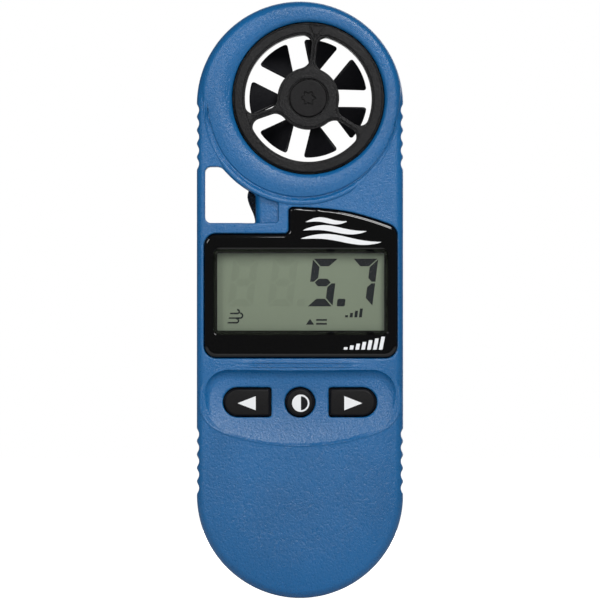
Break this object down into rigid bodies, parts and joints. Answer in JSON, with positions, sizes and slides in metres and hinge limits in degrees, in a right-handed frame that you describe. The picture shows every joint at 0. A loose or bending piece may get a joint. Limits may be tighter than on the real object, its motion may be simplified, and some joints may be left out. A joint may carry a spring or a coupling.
{
  "type": "handheld weather meter",
  "caption": "Pocket weather meter: a removable impeller module in a round head, a segment display, rubber keys, and a coin cell behind a turning door.",
  "frame": {"origin": "under the middle of the rounded foot, half way through the thickness", "axes": "+Z along the length towards the head, -Y out of the front face, +X to the right seen from the front"},
  "size_m": [0.0422, 0.018, 0.122],
  "materials": {
    "casing_plastic": "fine-grained moulded plastic",
    "module_plastic": "fine-grained moulded plastic",
    "rotor_plastic": "smooth moulded plastic",
    "plug_plastic": "satin moulded plastic",
    "key_rubber": "matte silicone rubber",
    "seal_rubber": "satin rubber",
    "conductive_rubber": "matte carbon rubber",
    "window_acrylic": "clear polished acrylic",
    "mask_print": "printed black",
    "gasket_foam": "adhesive foam",
    "display_glass": "thin glass with a satin film",
    "reflector_film": "satin grey-green film",
    "frame_plastic": "moulded plastic",
    "board_laminate": "solder mask",
    "chip_resin": "moulded resin",
    "ceramic": "fired ceramic",
    "gold_plate": "gold-plated spring strip",
    "copper_wire": "enamelled winding",
    "steel": "bright steel",
    "cell_steel": "satin steel can",
    "magnet_metal": "sintered magnet",
    "jewel": "polished synthetic jewel",
    "label_foil": "blank satin foil"
  },
  "bodies": {
    "casing": {"front_casing": "casing_plastic", "rear_casing": "casing_plastic", "casing_seal": "seal_rubber", "display_window": "window_acrylic", "window_mask": "mask_print", "window_gasket": "gasket_foam", "lcd_front_glass": "display_glass", "lcd_rear_glass": "display_glass", "lcd_reflector": "reflector_film", "lcd_frame": "frame_plastic", "lcd_contact_strips": "conductive_rubber", "circuit_board": "board_laminate", "controller_chip": "chip_resin", "timing_crystal": "steel", "board_capacitors": "ceramic", "key_contacts": "gold_plate", "keypad_mat": "key_rubber", "negative_contact": "gold_plate", "positive_contact": "gold_plate", "coin_cell": "cell_steel", "coil_bobbin": "frame_plastic", "pickup_coil": "copper_wire", "sensor_port_plug": "seal_rubber", "casing_screws": "steel", "board_screws": "steel", "rear_label": "label_foil", "lanyard_pin": "steel"},
    "impeller_module": {"module_front_frame": "module_plastic", "module_rear_frame": "module_plastic", "front_bearing_plug": "plug_plastic", "rear_bearing_plug": "plug_plastic", "front_jewel": "jewel", "rear_jewel": "jewel"},
    "impeller": {"rotor": "rotor_plastic", "rotor_magnet": "magnet_metal", "axle": "steel"},
    "left_button": {"left_key": "key_rubber", "left_key_pill": "conductive_rubber"},
    "power_button": {"power_key": "key_rubber", "power_key_pill": "conductive_rubber"},
    "right_button": {"right_key": "key_rubber", "right_key_pill": "conductive_rubber"},
    "door_ring": {"door_seal": "seal_rubber"},
    "door": {"battery_door": "casing_plastic"}
  },
  "joints": [
    {"name": "module_slide", "type": "slide", "parent": "casing", "child": "impeller_module", "axis": [0, -1, 0], "range_m": [0, 0.018]},
    {"name": "impeller_spin", "type": "hinge", "parent": "impeller_module", "child": "impeller", "pos_m": [0.0017, 0, 0.1022], "axis": [0, 1, 0], "continuous": true},
    {"name": "left_key_press", "type": "slide", "parent": "casing", "child": "left_button", "axis": [0, 1, 0], "range_m": [0, 0.00075], "stiffness_N_per_m": 1500, "springref_m": -0.0003},
    {"name": "power_key_press", "type": "slide", "parent": "casing", "child": "power_button", "axis": [0, 1, 0], "range_m": [0, 0.00075], "stiffness_N_per_m": 1500, "springref_m": -0.0003},
    {"name": "right_key_press", "type": "slide", "parent": "casing", "child": "right_button", "axis": [0, 1, 0], "range_m": [0, 0.00075], "stiffness_N_per_m": 1500, "springref_m": -0.0003},
    {"name": "door_lift", "type": "slide", "parent": "casing", "child": "door_ring", "axis": [0, 1, 0], "range_m": [0, 0.0025]},
    {"name": "door_turn", "type": "hinge", "parent": "door_ring", "child": "door", "pos_m": [0, 0, 0.0275], "axis": [0, 1, 0], "range_deg": [0, 76]}
  ],
  "couplings": [
    {"joint": "door_turn", "follows": "door_lift", "rad_per_m": 523.6}
  ]
}
